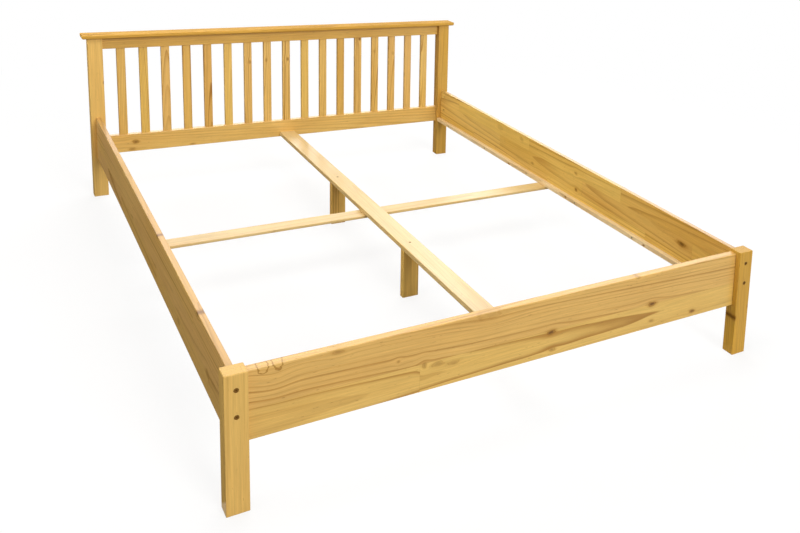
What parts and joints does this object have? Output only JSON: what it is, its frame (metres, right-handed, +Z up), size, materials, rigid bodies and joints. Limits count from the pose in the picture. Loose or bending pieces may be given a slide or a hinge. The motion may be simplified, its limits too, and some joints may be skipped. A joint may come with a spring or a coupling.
{
  "type": "spindle bed frame",
  "caption": "Double bed frame in solid pine: headboard of flat spindles under a moulded cap, low foot end, bolted side rails, ledges, centre beam on legs and a cross slat.",
  "frame": {"origin": "on the floor under the middle of the bed's outline", "axes": "+X to the bed's right seen from its foot, +Y from the foot end to the headboard, +Z up"},
  "size_m": [1.728, 2.096, 0.696],
  "materials": {
    "pine": "planed, sanded and clear satin lacquer",
    "dowel_wood": "turned beech, unfinished",
    "bolt_steel": "bronze-coloured plating",
    "zinc_steel": "zinc plated"
  },
  "bodies": {
    "root": {"head_cap": "pine", "head_upper_rail": "pine", "head_lower_rail": "pine", "foot_rail": "pine", "centre_beam": "pine", "cross_slat": "pine", "head_post_left": "pine", "head_post_right": "pine", "foot_post_left": "pine", "foot_post_right": "pine", "side_rail_left": "pine", "side_rail_right": "pine", "ledge_left": "pine", "ledge_right": "pine", "centre_leg_foot": "pine", "centre_leg_head": "pine", "head_spindle_01": "pine", "head_spindle_02": "pine", "head_spindle_03": "pine", "head_spindle_04": "pine", "head_spindle_05": "pine", "head_spindle_06": "pine", "head_spindle_07": "pine", "head_spindle_08": "pine", "head_spindle_09": "pine", "head_spindle_10": "pine", "head_spindle_11": "pine", "head_spindle_12": "pine", "head_spindle_13": "pine", "head_spindle_14": "pine", "head_spindle_15": "pine", "head_spindle_16": "pine", "head_spindle_17": "pine", "corner_dowels": "dowel_wood", "cap_dowels": "dowel_wood", "beam_dowels": "dowel_wood", "foot_bolts": "bolt_steel", "head_bolts": "bolt_steel", "foot_barrel_nuts": "zinc_steel", "head_barrel_nuts": "zinc_steel", "ledge_screws": "zinc_steel", "leg_screws": "zinc_steel", "cross_slat_screws": "zinc_steel"}
  },
  "joints": []
}
